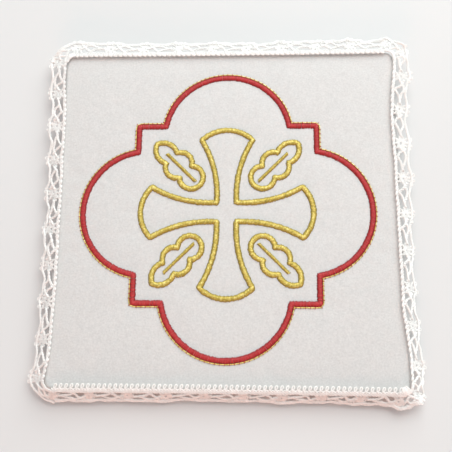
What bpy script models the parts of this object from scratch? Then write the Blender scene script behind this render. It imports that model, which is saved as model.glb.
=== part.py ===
"""A chalice pall: a stiff square pad in white cloth, with a lace edging gathered round its
corners and an embroidered face. Metres, +Z up. The origin is the middle of the underside.
The front, where the lace hangs lowest, is at -Y."""

from math import acos, asin, atan2, copysign, cos, hypot, pi, radians, sin

import bmesh
import bpy

MM = 0.001
SAME_PLACE = 1e-6

# Pad
SIDE = 160 * MM
HEIGHT = 7.5 * MM
CROWN = 0.6 * MM
CORNER_RADIUS = 4.4 * MM
TOP_RIM_RADIUS = 1.6 * MM
BOTTOM_RIM_RADIUS = 1.2 * MM
DRAWN_IN = 0.3 * MM
CORNER_STEPS = 4
TOP_RIM_STEPS = 3
BOTTOM_RIM_STEPS = 2
FACE_GRID = 20 * MM
FACE_CUTS = 3
HALF = SIDE / 2

# Clearance between neighbouring solids
GAP = 0.3 * MM

# Lace edging, a strip with one dense cluster and one open ground in each repeat
LACE_REPEAT = 16.8 * MM
LACE_THICKNESS = 1.0 * MM
BEND_ALLOWANCE = 0.15 * MM
LACE_LIFT = GAP + LACE_THICKNESS / 2 + BEND_ALLOWANCE
CURL_START = 5.6 * MM
CURL_ANGLE = radians(30)
FULL_CURL_AT = radians(55)
SIDE_REPEATS = 9
# Going round from the front left: each corner and the repeats gathered into it
CORNER_REPEATS = (("front_right", 1.5), ("back_right", 1.5), ("back_left", 1.0), ("front_left", 1.0))
ALL_REPEATS = 4 * SIDE_REPEATS + sum(repeats for _, repeats in CORNER_REPEATS)
STRAIGHT = SIDE_REPEATS * LACE_REPEAT
# Across the strip, for one repeat that starts in the middle of a cluster:
# how far past the pad's edge the row lies where there is no inset, and the shares of the repeat
# where its columns stand
LACE_ROWS = (
    (-1.8 * MM, (0.0, 0.18, 0.44, 0.56, 0.82, 1.0)),
    (-0.4 * MM, (0.0, 0.18, 0.44, 0.56, 0.82, 1.0)),
    (1.3 * MM, (0.0, 0.18, 0.44, 0.56, 0.82, 1.0)),
    (3.7 * MM, (0.0, 0.22, 0.44, 0.56, 0.78, 1.0)),
    (4.4 * MM, (0.0, 0.24, 0.42, 0.58, 0.76, 1.0)),
    (6.1 * MM, (0.0, 0.22, 0.36, 0.64, 0.78, 1.0)),
    (7.7 * MM, (0.0, 0.20, 0.36, 0.64, 0.80, 1.0)),
    (9.2 * MM, (0.0, 0.13, 0.40, 0.60, 0.87, 1.0)),
)
# Cells of a repeat, as row and column, that are holes, and the ground's part of the last row
LACE_HOLES = ((2, 1), (2, 3), (4, 2))
OUTSIDE_SCALLOP = ((6, 1), (6, 2), (6, 3))
# How the lace hangs: repeats from the front left corner, and degrees below level
DROOP = (
    (0.0, 47),
    (2.0, 55),
    (5.0, 58),
    (8.0, 54),
    (9.75, 30),
    (11.5, 37),
    (13.0, 40),
    (14.8, 28),
    (16.6, 11),
    (19.5, 7),
    (20.25, 10),
    (22.0, 18),
    (25.5, 23),
    (29.0, 18),
    (30.5, 10),
    (33.5, 14),
    (36.0, 23),
    (38.5, 26),
    (39.8, 30),
    (41.0, 47),
)
# How far the strip is sewn in over the face: repeats from the front left corner, and the inset
INSET = (
    (0.0, 0.0),
    (10.9, 0.0),
    (12.6, 2.0 * MM),
    (16.0, 2.2 * MM),
    (17.8, 2.7 * MM),
    (19.5, 0.5 * MM),
    (20.6, 0.0),
    (31.3, 0.0),
    (32.7, 1.5 * MM),
    (35.8, 2.1 * MM),
    (37.2, 2.6 * MM),
    (39.0, 2.3 * MM),
    (40.2, 0.4 * MM),
    (41.0, 0.0),
)
# Unevenness of the droop: waves round the whole lace, degrees, and where each wave starts
DROOP_WAVES = ((12, 2.4, 0.6), (23, 1.8, 2.1))
# Ruffles at the gathered corners: middle in repeats, width in repeats, height at the outer edge
RUFFLES = ((9.75, 1.5, 1.5 * MM), (20.25, 1.5, 1.7 * MM), (30.5, 1.0, 0.9 * MM), (40.5, 1.0, 0.4 * MM))
RUFFLE_WAVE = 0.75

# Embroidery, raised satin stitch
SATIN_HEIGHT = 0.5 * MM
SATIN_CROWN = 0.25 * MM
LONGEST_MITRE = 1.5
RED_WIDTH = 2.6 * MM
GOLD_WIDTH = 2.2 * MM
LOBE_CENTRE = 37.5 * MM
LOBE_RADIUS = 29.5 * MM
BARB = 42 * MM
LOBE_STEPS = 14
CROSS_WAIST = 4.6 * MM
CROSS_REACH = 40 * MM
CROSS_FLARE = 12 * MM
CROSS_BULGE = 5 * MM
CROSS_HOLLOW = 2.4 * MM
CROSS_STEPS = 5
LEAF_START = 18 * MM
# One half of a leaf from its stem to its tip: along, across, and how far the arc bulges
LEAF_ARCS = (
    (9.5 * MM, 4.0 * MM, 3.4 * MM),
    (19.0 * MM, 3.6 * MM, 2.9 * MM),
    (29.0 * MM, 0.0 * MM, 2.4 * MM),
)
LEAF_STEPS = 5


def clear_scene():
    for thing in list(bpy.data.objects):
        bpy.data.objects.remove(thing, do_unlink=True)


def make_collection(name):
    collection = bpy.data.collections.new(name)
    bpy.context.scene.collection.children.link(collection)
    return collection


def make_material(name, colour, roughness, metallic):
    material = bpy.data.materials.new(name)
    material.use_nodes = True
    shader = material.node_tree.nodes["Principled BSDF"]
    shader.inputs["Base Color"].default_value = (*colour, 1.0)
    shader.inputs["Roughness"].default_value = roughness
    shader.inputs["Metallic"].default_value = metallic
    return material


def place(name, bm, collection, material):
    mesh = bpy.data.meshes.new(name)
    bm.to_mesh(mesh)
    bm.free()
    mesh.materials.append(material)
    thing = bpy.data.objects.new(name, mesh)
    collection.objects.link(thing)
    return thing


def thicken(thing, thickness, offset):
    wall = thing.modifiers.new("thickness", "SOLIDIFY")
    wall.thickness = thickness
    wall.offset = offset


def ring_sheet(columns, rows, is_open, place_at):
    """A sheet that closes into a ring, from a flat grid: cells that are open are left out, and
    each grid point goes where place_at says for its column and row."""
    bm = bmesh.new()
    bmesh.ops.create_grid(bm, x_segments=columns, y_segments=rows, size=0.5)
    left_out = []
    for face in bm.faces:
        middle = face.calc_center_median()
        column, row = int((middle.x + 0.5) * columns), int((middle.y + 0.5) * rows)
        if is_open(column, row):
            left_out.append(face)
    bmesh.ops.delete(bm, geom=left_out, context="FACES")
    for v in bm.verts:
        column, row = round((v.co.x + 0.5) * columns), round((v.co.y + 0.5) * rows)
        v.co = place_at(column % columns, row)
    bmesh.ops.remove_doubles(bm, verts=bm.verts, dist=SAME_PLACE)
    bm.normal_update()
    if sum(face.normal.z for face in bm.faces) < 0:
        bmesh.ops.reverse_faces(bm, faces=bm.faces)
    return bm


def drawn_in(x, y):
    """The plan position of a point once the pad's sides pull in a little between the corners."""
    across = 1 - min(1.0, (y / HALF) ** 2)
    along = 1 - min(1.0, (x / HALF) ** 2)
    return x * (1 - DRAWN_IN / HALF * across), y * (1 - DRAWN_IN / HALF * along)


def face_height(x, y):
    """The height of the pad's top face, which is a little crowned."""
    across = 1 - min(1.0, (x / HALF) ** 2)
    along = 1 - min(1.0, (y / HALF) ** 2)
    return HEIGHT + CROWN * across * along


# Pad
def round_edges(bm, picked, radius, segments):
    edges = [e for e in bm.edges if picked(e)]
    bmesh.ops.bevel(bm, geom=edges, offset=radius, segments=segments, profile=0.5, affect="EDGES")


def cut_across(bm, axis, spacing):
    """Cuts the mesh by planes at right angles to an axis, so that its faces can curve."""
    normal = [0, 0, 0]
    normal[axis] = 1
    for step in range(-FACE_CUTS, FACE_CUTS + 1):
        point = [value * step * spacing for value in normal]
        geometry = bm.verts[:] + bm.edges[:] + bm.faces[:]
        bmesh.ops.bisect_plane(bm, geom=geometry, plane_co=point, plane_no=normal)


def upright(edge):
    return abs(edge.verts[0].co.z - edge.verts[1].co.z) > HEIGHT / 2


def level_at(edge, height):
    return all(abs(v.co.z - height) < SAME_PLACE for v in edge.verts)


def make_cover(collection, material):
    bm = bmesh.new()
    bmesh.ops.create_cube(bm, size=1)
    bmesh.ops.scale(bm, vec=(SIDE, SIDE, HEIGHT), verts=bm.verts)
    bmesh.ops.translate(bm, vec=(0, 0, HEIGHT / 2), verts=bm.verts)
    round_edges(bm, upright, CORNER_RADIUS, CORNER_STEPS)
    round_edges(bm, lambda e: level_at(e, HEIGHT), TOP_RIM_RADIUS, TOP_RIM_STEPS)
    round_edges(bm, lambda e: level_at(e, 0), BOTTOM_RIM_RADIUS, BOTTOM_RIM_STEPS)
    cut_across(bm, 0, FACE_GRID)
    cut_across(bm, 1, FACE_GRID)
    underside = [face for face in bm.faces if all(v.co.z < SAME_PLACE for v in face.verts)]
    bmesh.ops.dissolve_faces(bm, faces=underside)
    for v in bm.verts:
        if v.co.z > HEIGHT - SAME_PLACE:
            v.co.z = face_height(v.co.x, v.co.y)
        v.co.x, v.co.y = drawn_in(v.co.x, v.co.y)
    bmesh.ops.recalc_face_normals(bm, faces=bm.faces)
    return place("cover", bm, collection, material)


# Lace
def stretch_at(t):
    """The stretch that holds t repeats: its side, how far in t lies, and its repeats if a corner."""
    t %= ALL_REPEATS
    for side, (_, gathered) in enumerate(CORNER_REPEATS):
        if t <= SIDE_REPEATS:
            return side, t, None
        t -= SIDE_REPEATS
        if t <= gathered:
            return side, t, gathered
        t -= gathered
    return 0, t, None


def edge_line(t):
    """The pad's edge at t repeats along the lace: a point on it and the way out from it."""
    side, along, gathered = stretch_at(t)
    if gathered is None:
        direction = -pi / 2
        x, y = along * LACE_REPEAT - STRAIGHT / 2, -HALF
    else:
        direction = -pi / 2 + along / gathered * pi / 2
        x = STRAIGHT / 2 + CORNER_RADIUS * cos(direction)
        y = -STRAIGHT / 2 + CORNER_RADIUS * sin(direction)
    turned = side * pi / 2
    point = x * cos(turned) - y * sin(turned), x * sin(turned) + y * cos(turned)
    return point, (cos(direction + turned), sin(direction + turned))


def eased(share):
    return (1 - cos(pi * share)) / 2


def from_table(table, t):
    """The value at t repeats, eased from one row of the table to the next."""
    t %= ALL_REPEATS
    for (start, low), (end, high) in zip(table, table[1:]):
        if t <= end:
            return low + (high - low) * eased((t - start) / (end - start))


def droop_at(t):
    """The angle that the lace hangs below level at t repeats."""
    angle = from_table(DROOP, t)
    for waves, size, offset in DROOP_WAVES:
        angle += size * sin(2 * pi * waves * t / ALL_REPEATS + offset)
    return radians(angle)


def ruffle_at(t):
    """The rise or fall of the outer edge where the lace is gathered round a corner."""
    rise = 0.0
    for middle, width, size in RUFFLES:
        off = (t - middle + ALL_REPEATS / 2) % ALL_REPEATS - ALL_REPEATS / 2
        if abs(off) < width:
            rise += size * cos(2 * pi * off / RUFFLE_WAVE) * (1 - eased(abs(off) / width))
    return rise


def hang(v, droop):
    """Where a point v past the edge line comes to lie: out from that line, and its height."""
    radius = TOP_RIM_RADIUS + LACE_LIFT
    bend = min(max(0.0, (v + TOP_RIM_RADIUS) / radius), droop)
    if v <= -TOP_RIM_RADIUS:
        return v, HEIGHT + LACE_LIFT
    out = -TOP_RIM_RADIUS + radius * sin(bend)
    height = HEIGHT - TOP_RIM_RADIUS + radius * cos(bend)
    bend_end = -TOP_RIM_RADIUS + radius * droop
    straight = max(0.0, min(v, CURL_START) - bend_end)
    out += straight * cos(droop)
    height -= straight * sin(droop)
    curled = v - CURL_START
    if curled > 0:
        widest = LACE_ROWS[-1][0] - CURL_START
        rate = CURL_ANGLE * min(1.0, droop / FULL_CURL_AT) / widest
        out += (sin(droop) - sin(droop - rate * curled)) / rate
        height -= (cos(droop - rate * curled) - cos(droop)) / rate
    return out, height


def lace_place(t, v):
    """The place of the strip's point at t repeats along, v past the edge line before the inset."""
    v -= from_table(INSET, t)
    (x, y), (out_x, out_y) = edge_line(t)
    out, height = hang(v, droop_at(t))
    if v > 0:
        height += ruffle_at(t) * (v / LACE_ROWS[-1][0]) ** 2
    x, y = drawn_in(x + out_x * out, y + out_y * out)
    return x, y, height


def make_lace(collection, material):
    cells = len(LACE_ROWS[0][1]) - 1

    def is_open(column, row):
        return (row, column % cells) in LACE_HOLES + OUTSIDE_SCALLOP

    def place_at(column, row):
        v, shares = LACE_ROWS[row]
        return lace_place(column // cells + shares[column % cells], v)

    bm = ring_sheet(round(ALL_REPEATS) * cells, len(LACE_ROWS) - 1, is_open, place_at)
    lace = place("lace_edging", bm, collection, material)
    thicken(lace, LACE_THICKNESS, 0)
    return lace


# Embroidery
def arc_between(start, end, bulge, steps):
    """Points from start, up to but not at end, along an arc that bulges to the right of the
    way there, or to the left if bulge is negative. The bulge is less than half the way."""
    (x0, y0), (x1, y1) = start, end
    chord = hypot(x1 - x0, y1 - y0)
    radius = (chord**2 / 4 + bulge**2) / (2 * abs(bulge))
    half = asin(chord / 2 / radius)
    side = copysign(1.0, bulge)
    right_x, right_y = (y1 - y0) / chord, -(x1 - x0) / chord
    back = radius * cos(half) * side
    centre_x = (x0 + x1) / 2 - right_x * back
    centre_y = (y0 + y1) / 2 - right_y * back
    first = atan2(y0 - centre_y, x0 - centre_x)
    angles = [first + 2 * half * side * step / steps for step in range(steps)]
    return [(centre_x + radius * cos(a), centre_y + radius * sin(a)) for a in angles]


def turned_four_ways(points):
    """The points followed by their copies turned by one, two and three right angles."""
    path = []
    for _ in range(4):
        path += points
        points = [(-y, x) for x, y in points]
    return path


def quatrefoil_path():
    """Four round lobes with a pointed barb between each two."""
    half = acos((BARB - LOBE_CENTRE) / LOBE_RADIUS)
    angles = [-half + 2 * half * i / LOBE_STEPS for i in range(LOBE_STEPS + 1)]
    lobe = [(LOBE_CENTRE + LOBE_RADIUS * cos(a), LOBE_RADIUS * sin(a)) for a in angles]
    return turned_four_ways(lobe + [(BARB, BARB)])


def cross_path():
    """A cross whose four arms widen in a curve to rounded ends."""
    inner, tip = (CROSS_WAIST, -CROSS_WAIST), (CROSS_REACH - CROSS_BULGE, -CROSS_FLARE)
    flare = arc_between(inner, tip, -CROSS_HOLLOW, CROSS_STEPS)
    end = arc_between(tip, (tip[0], CROSS_FLARE), CROSS_BULGE, CROSS_STEPS)
    mirrored = [(x, -y) for x, y in reversed(flare[1:])]
    return turned_four_ways(flare + end + [(tip[0], CROSS_FLARE)] + mirrored)


def leaf_path(direction):
    """A leaf with three lobes a side, whose stem end points at the middle of the face."""
    half = []
    here = (0.0, 0.0)
    for along, across, bulge in LEAF_ARCS:
        half += arc_between(here, (along, -across), bulge, LEAF_STEPS)
        here = (along, -across)
    outline = half + [here] + [(x, -y) for x, y in reversed(half[1:])]
    outline = [(LEAF_START + x, y) for x, y in outline]
    way_x, way_y = cos(direction), sin(direction)
    return [(x * way_x - y * way_y, x * way_y + y * way_x) for x, y in outline]


def mitre(before, here, after):
    """The way to the left of a path at one of its points, longer where the path turns."""
    ways = []
    for start, end in ((before, here), (here, after)):
        length = hypot(end[0] - start[0], end[1] - start[1])
        ways.append(((start[1] - end[1]) / length, (end[0] - start[0]) / length))
    x, y = ways[0][0] + ways[1][0], ways[0][1] + ways[1][1]
    size = hypot(x, y)
    stretch = min(LONGEST_MITRE, 2 / size)
    return x / size * stretch, y / size * stretch


def make_band(name, path, width, collection, material):
    """A closed band of satin stitch along a path, highest along its middle."""
    lanes = ((-1, 0), (0, SATIN_CROWN), (1, 0))

    def place_at(number, lane):
        x, y = path[number]
        left_x, left_y = mitre(path[number - 1], (x, y), path[(number + 1) % len(path)])
        share, rise = lanes[lane]
        x, y = x + left_x * share * width / 2, y + left_y * share * width / 2
        return *drawn_in(x, y), face_height(x, y) + GAP + rise

    bm = ring_sheet(len(path), len(lanes) - 1, lambda column, row: False, place_at)
    band = place(name, bm, collection, material)
    thicken(band, SATIN_HEIGHT, 1)
    return band


def main():
    clear_scene()
    parts = make_collection("chalice_pall")
    white_cloth = make_material("white_cloth", (0.80, 0.79, 0.77), 0.6, 0.0)
    white_cotton = make_material("white_cotton", (0.86, 0.84, 0.80), 0.8, 0.0)
    red_thread = make_material("red_thread", (0.56, 0.06, 0.05), 0.4, 0.0)
    gold_thread = make_material("gold_thread", (0.72, 0.54, 0.17), 0.35, 0.7)
    make_cover(parts, white_cloth)
    make_lace(parts, white_cotton)
    make_band("red_quatrefoil", quatrefoil_path(), RED_WIDTH, parts, red_thread)
    make_band("gold_cross", cross_path(), GOLD_WIDTH, parts, gold_thread)
    for number in range(4):
        direction = pi / 4 + number * pi / 2
        make_band(f"gold_leaf_{number + 1}", leaf_path(direction), GOLD_WIDTH, parts, gold_thread)


main()
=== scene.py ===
# %% [markdown]
# # A chalice pall, stitched and laced in Blender
#
# A chalice pall is a stiff square of white cloth that covers a cup. This one has an embroidered
# face and a cotton lace edging sewn round it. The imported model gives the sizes: a pad, a strip
# of lace and six bands of stitching. The cells below dress each of them in cloth and thread.

# %% Load the frame
from math import acos, asin, atan2, ceil, copysign, cos, hypot, pi, radians, sin

import bpy
import numpy as np
from mathutils import Matrix, Vector


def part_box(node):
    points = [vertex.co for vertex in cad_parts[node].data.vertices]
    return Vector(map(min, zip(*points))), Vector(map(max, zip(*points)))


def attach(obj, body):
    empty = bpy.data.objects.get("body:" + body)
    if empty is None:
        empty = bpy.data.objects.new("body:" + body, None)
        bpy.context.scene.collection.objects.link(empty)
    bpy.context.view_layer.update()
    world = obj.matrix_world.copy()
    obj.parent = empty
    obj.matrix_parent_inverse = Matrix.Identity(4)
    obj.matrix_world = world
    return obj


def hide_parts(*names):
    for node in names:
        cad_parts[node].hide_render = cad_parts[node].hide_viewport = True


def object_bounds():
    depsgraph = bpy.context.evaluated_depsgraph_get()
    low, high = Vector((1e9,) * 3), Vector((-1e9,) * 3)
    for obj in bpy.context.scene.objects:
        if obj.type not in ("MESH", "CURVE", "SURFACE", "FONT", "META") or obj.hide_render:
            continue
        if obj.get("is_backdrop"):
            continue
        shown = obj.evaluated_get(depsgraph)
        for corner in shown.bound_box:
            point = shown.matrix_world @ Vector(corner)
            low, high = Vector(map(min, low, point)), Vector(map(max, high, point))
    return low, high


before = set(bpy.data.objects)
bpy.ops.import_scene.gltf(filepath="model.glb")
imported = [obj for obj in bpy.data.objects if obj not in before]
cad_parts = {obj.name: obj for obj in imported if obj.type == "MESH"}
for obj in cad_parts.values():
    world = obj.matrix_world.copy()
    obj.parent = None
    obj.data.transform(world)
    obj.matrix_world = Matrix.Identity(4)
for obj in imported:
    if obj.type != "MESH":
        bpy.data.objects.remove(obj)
cad_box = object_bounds()
MM = 0.001
SEED = 7
chance = np.random.default_rng(SEED)
print("nodes:", sorted(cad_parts))

# %% [markdown]
# ## Sizes
#
# The pad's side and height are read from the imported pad, so that the cloth fits it. The crown,
# the rims and the drawn-in sides are those of the pad's own construction.

# %% Read the pad's sizes
pad_low, pad_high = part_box("cover")
SIDE = round((pad_high.x - pad_low.x) / MM) * MM
HALF = SIDE / 2
CROWN = 0.6 * MM
HEIGHT = pad_high.z - CROWN
CORNER_RADIUS = 4.4 * MM
TOP_RIM_RADIUS = 1.6 * MM
BOTTOM_RIM_RADIUS = 1.2 * MM
DRAWN_IN = 0.3 * MM


def drawn_in(x, y):
    """The plan position of a point once the pad's sides pull in a little between the corners."""
    across = 1 - np.minimum(1.0, (y / HALF) ** 2)
    along = 1 - np.minimum(1.0, (x / HALF) ** 2)
    return x * (1 - DRAWN_IN / HALF * across), y * (1 - DRAWN_IN / HALF * along)


def face_height(x, y):
    """The height of the pad's top face, which is a little crowned."""
    across = 1 - np.minimum(1.0, (x / HALF) ** 2)
    along = 1 - np.minimum(1.0, (y / HALF) ** 2)
    return HEIGHT + CROWN * across * along


print(f"pad {SIDE / MM:.1f} mm square, {HEIGHT / MM:.1f} mm high at the rim")

# %% [markdown]
# ## Helpers for modelling by hand
#
# Operators act on all that is selected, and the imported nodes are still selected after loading.
# So each piece starts from an empty selection. Picking edges and faces by their place or their
# normal does in code what a click does in the viewport.


# %% Select, enter edit mode, pick and finish
def start_piece():
    """Leaves edit mode and clears the selection, so that the next operator acts on nothing else."""
    if bpy.context.object is not None and bpy.context.object.mode != "OBJECT":
        bpy.ops.object.mode_set(mode="OBJECT")
    bpy.ops.object.select_all(action="DESELECT")


def pick(thing, edges=None, faces=None):
    """Selects in edit mode the edges or faces for which the given test is true."""
    bpy.ops.object.mode_set(mode="EDIT")
    bpy.ops.mesh.select_mode(type="EDGE" if edges else "FACE")
    bpy.ops.mesh.select_all(action="DESELECT")
    bpy.ops.object.mode_set(mode="OBJECT")
    mesh = thing.data
    if edges:
        for edge in mesh.edges:
            edge.select = edges(*(mesh.vertices[i].co for i in edge.vertices))
    else:
        for face in mesh.polygons:
            face.select = faces(face.center, face.normal)
    bpy.ops.object.mode_set(mode="EDIT")


def only(thing):
    """Makes one object the selected and active one."""
    start_piece()
    thing.select_set(True)
    bpy.context.view_layer.objects.active = thing


def apply_modifiers(thing):
    """Makes what the modifiers do a part of the mesh."""
    only(thing)
    for name in [modifier.name for modifier in thing.modifiers]:
        bpy.ops.object.modifier_apply(modifier=name)


def triangles(thing):
    return sum(len(face.vertices) - 2 for face in thing.data.polygons)


def points_of(thing):
    """The mesh's points as an array with a row for each."""
    flat = np.empty(len(thing.data.vertices) * 3)
    thing.data.vertices.foreach_get("co", flat)
    return flat.reshape(-1, 3)


def put_points(thing, points):
    thing.data.vertices.foreach_set("co", np.asarray(points).ravel())
    thing.data.update()


# %% [markdown]
# ## Thread
#
# Everything sewn or made as lace is thread. A thread is a line with a round section, so one
# curve object holds the lines of a piece, and Blender gives each its thickness. The curve is
# then converted to a mesh. Six sides are enough for a line half a millimetre thick.


# %% Turn lines into thread
# A flat cap's points lie doubled on the thread's last ring, and this distance welds them
CAP_WELD = 1e-7


def thread_piece(name, lines, radius, material, sides=6):
    """One mesh of round threads, with a line of points for each."""
    start_piece()
    curve = bpy.data.curves.new(name, "CURVE")
    curve.dimensions = "3D"
    curve.bevel_depth = radius
    curve.bevel_resolution = (sides - 4) // 2
    curve.use_fill_caps = True
    for line in lines:
        spline = curve.splines.new("POLY")
        spline.points.add(len(line) - 1)
        flat = np.ones((len(line), 4))
        flat[:, :3] = line
        spline.points.foreach_set("co", flat.ravel())
    piece = bpy.data.objects.new(name, curve)
    bpy.context.scene.collection.objects.link(piece)
    only(piece)
    bpy.ops.object.convert(target="MESH")
    piece = bpy.context.object
    piece.name = name
    piece.data.name = name
    piece.data.materials.clear()
    piece.data.materials.append(material)
    bpy.ops.object.mode_set(mode="EDIT")
    bpy.ops.mesh.select_all(action="SELECT")
    bpy.ops.mesh.remove_doubles(threshold=CAP_WELD)
    bpy.ops.object.mode_set(mode="OBJECT")
    bpy.ops.object.shade_smooth()
    return piece


def resample(line, spacing, closed=False):
    """Points along a line at equal steps close to the spacing."""
    line = np.asarray(line, float)
    if closed:
        line = np.vstack([line, line[:1]])
    lengths = np.r_[0, np.cumsum(np.linalg.norm(np.diff(line, axis=0), axis=1))]
    steps = max(2, round(lengths[-1] / spacing))
    at = np.linspace(0, lengths[-1], steps + 1)
    if closed:
        at = at[:-1]
    return np.column_stack([np.interp(at, lengths, column) for column in line.T])


def smooth_line(points, spacing):
    """A smooth curve through a few points, as steps of the spacing."""
    points = np.asarray(points, float)
    padded = np.vstack([2 * points[0] - points[1], points, 2 * points[-1] - points[-2]])
    shares = np.linspace(0, 1, 9)[:-1, None]
    line = []
    for a, b, c, d in zip(padded, padded[1:], padded[2:], padded[3:]):
        line.append(
            (2 * b + (c - a) * shares + (2 * a - 5 * b + 4 * c - d) * shares**2
             + (3 * b - 3 * c + d - a) * shares**3) / 2
        )
    line.append(points[-1:])
    return resample(np.vstack(line), spacing)


# %% [markdown]
# ## Cloth and thread finishes
#
# Four finishes cover the whole pall: white cloth, cotton thread, red thread and gold thread.
# What they share is built once as node groups: a plain weave, and the fine streaks of spun
# fibre. The groups put out only a height, a mask or a shade, and each material sets its own
# colours, gloss and sheen on its own shader.


# %% Node helpers
def new_group(name, inputs, outputs):
    """An empty node group with named number inputs and outputs."""
    group = bpy.data.node_groups.new(name, "ShaderNodeTree")
    for label, kind, value in inputs:
        socket = group.interface.new_socket(label, in_out="INPUT", socket_type=kind)
        if value is not None:
            socket.default_value = value
    for label, kind in outputs:
        group.interface.new_socket(label, in_out="OUTPUT", socket_type=kind)
    nodes = group.nodes
    return group, nodes.new("NodeGroupInput"), nodes.new("NodeGroupOutput")


def math(tree, operation, first, second=None, clamp=False):
    """A math node that reads sockets or plain numbers, and its result."""
    node = tree.nodes.new("ShaderNodeMath")
    node.operation = operation
    node.use_clamp = clamp
    for socket, value in zip(node.inputs, (first, second)):
        if value is None:
            continue
        if isinstance(value, (int, float)):
            socket.default_value = value
        else:
            tree.links.new(value, socket)
    return node.outputs[0]


def noise(tree, place, scale, detail=3.0, roughness=0.5):
    node = tree.nodes.new("ShaderNodeTexNoise")
    node.inputs["Detail"].default_value = detail
    node.inputs["Roughness"].default_value = roughness
    tree.links.new(place, node.inputs["Vector"])
    if isinstance(scale, (int, float)):
        node.inputs["Scale"].default_value = scale
    else:
        tree.links.new(scale, node.inputs["Scale"])
    return node.outputs["Fac"]


def ramp(tree, value, stops):
    """A colour ramp from a table of values and colours, over the values' own range."""
    low, high = stops[0][0], stops[-1][0]
    scaled = tree.nodes.new("ShaderNodeMapRange")
    scaled.inputs["From Min"].default_value = low
    scaled.inputs["From Max"].default_value = high
    tree.links.new(value, scaled.inputs["Value"])
    node = tree.nodes.new("ShaderNodeValToRGB")
    elements = node.color_ramp.elements
    elements[0].color = (*stops[0][1], 1)
    elements[1].color = (*stops[-1][1], 1)
    for position, colour in stops[1:-1]:
        elements.new((position - low) / (high - low)).color = (*colour, 1)
    tree.links.new(scaled.outputs["Result"], node.inputs["Fac"])
    return node.outputs["Color"]


def bump(tree, height, strength, distance):
    node = tree.nodes.new("ShaderNodeBump")
    node.inputs["Strength"].default_value = strength
    node.inputs["Distance"].default_value = distance
    tree.links.new(height, node.inputs["Height"])
    return node.outputs["Normal"]


def place_group(tree, group, **values):
    """Puts a node group into a material and sets or links its inputs by name."""
    node = tree.nodes.new("ShaderNodeGroup")
    node.node_tree = group
    for label, value in values.items():
        socket = node.inputs[label.replace("_", " ")]
        if isinstance(value, (int, float)):
            socket.default_value = value
        else:
            tree.links.new(value, socket)
    return node


def new_material(name, roughness, metallic=0.0, **sockets):
    """A material with its shader's even values set on the shader itself."""
    material = bpy.data.materials.new(name)
    material.use_nodes = True
    shader = material.node_tree.nodes["Principled BSDF"]
    shader.inputs["Roughness"].default_value = roughness
    shader.inputs["Metallic"].default_value = metallic
    for label, value in sockets.items():
        shader.inputs[label.replace("_", " ")].default_value = value
    return material, material.node_tree, shader


# %% Weave and fibre groups
def make_weave_group():
    """A plain weave on flat coordinates in metres: how high each thread stands, and its shade."""
    group, inside, outside = new_group(
        "plain_weave",
        [("Place", "NodeSocketVector", None), ("Threads per metre", "NodeSocketFloat", 2200.0)],
        [("Height", "NodeSocketFloat"), ("Shade", "NodeSocketFloat")],
    )
    split = group.nodes.new("ShaderNodeSeparateXYZ")
    wander = noise(group, inside.outputs["Place"], 90.0, 2.0)
    group.links.new(inside.outputs["Place"], split.inputs["Vector"])
    waves = []
    for axis in ("X", "Y"):
        turns = math(group, "MULTIPLY", split.outputs[axis], inside.outputs["Threads per metre"])
        drift = math(group, "MULTIPLY", wander, 1.6)
        waves.append(math(group, "SINE", math(group, "MULTIPLY", math(group, "ADD", turns, drift), pi)))
    crossing = math(group, "MULTIPLY", waves[0], waves[1])
    ribs = [math(group, "ABSOLUTE", wave) for wave in waves]
    over = math(group, "GREATER_THAN", crossing, 0.0)
    under = math(group, "SUBTRACT", 1.0, over)
    height = math(
        group, "ADD", math(group, "MULTIPLY", ribs[0], over), math(group, "MULTIPLY", ribs[1], under)
    )
    slubs = noise(group, inside.outputs["Place"], 420.0, 2.0)
    group.links.new(height, outside.inputs["Height"])
    shade = math(group, "ADD", math(group, "MULTIPLY", height, 0.5), slubs)
    group.links.new(shade, outside.inputs["Shade"])
    return group


def make_fibre_group():
    """Spun fibre: fine hairs for a bump, and a slow unevenness of the yarn for its shade."""
    group, inside, outside = new_group(
        "spun_fibre",
        [("Place", "NodeSocketVector", None), ("Hairs", "NodeSocketFloat", 9000.0),
         ("Patches", "NodeSocketFloat", 700.0)],
        [("Height", "NodeSocketFloat"), ("Shade", "NodeSocketFloat")],
    )
    hairs = noise(group, inside.outputs["Place"], inside.outputs["Hairs"], 2.0, 0.6)
    patches = noise(group, inside.outputs["Place"], inside.outputs["Patches"], 2.0)
    group.links.new(hairs, outside.inputs["Height"])
    group.links.new(patches, outside.inputs["Shade"])
    return group


weave_group = make_weave_group()
fibre_group = make_fibre_group()


# %% White cloth
def make_white_cloth():
    """A fine plain weave on the flat cloth, with a faint grain and sheen."""
    material, tree, shader = new_material(
        "white_cloth_finish", 0.62, Sheen_Weight=0.25, Sheen_Roughness=0.4, Specular_IOR_Level=0.35
    )
    uv = tree.nodes.new("ShaderNodeUVMap")
    uv.uv_map = "flat_cloth"
    place = tree.nodes.new("ShaderNodeTexCoord").outputs["Object"]
    weave = place_group(tree, weave_group, Place=uv.outputs["UV"])
    grain = place_group(tree, fibre_group, Place=place, Hairs=1100.0, Patches=1300.0)
    tone = math(tree, "ADD", math(tree, "MULTIPLY", weave.outputs["Shade"], 0.3), grain.outputs["Shade"])
    colour = ramp(tree, tone, [(0.4, (0.60, 0.59, 0.577)), (1.1, (0.745, 0.735, 0.72))])
    tree.links.new(colour, shader.inputs["Base Color"])
    coarse = math(tree, "MULTIPLY", grain.outputs["Height"], 3.0)
    height = math(tree, "ADD", weave.outputs["Height"], coarse)
    tree.links.new(bump(tree, height, 0.6, 0.00006), shader.inputs["Normal"])
    return material


white_cloth = make_white_cloth()


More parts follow.
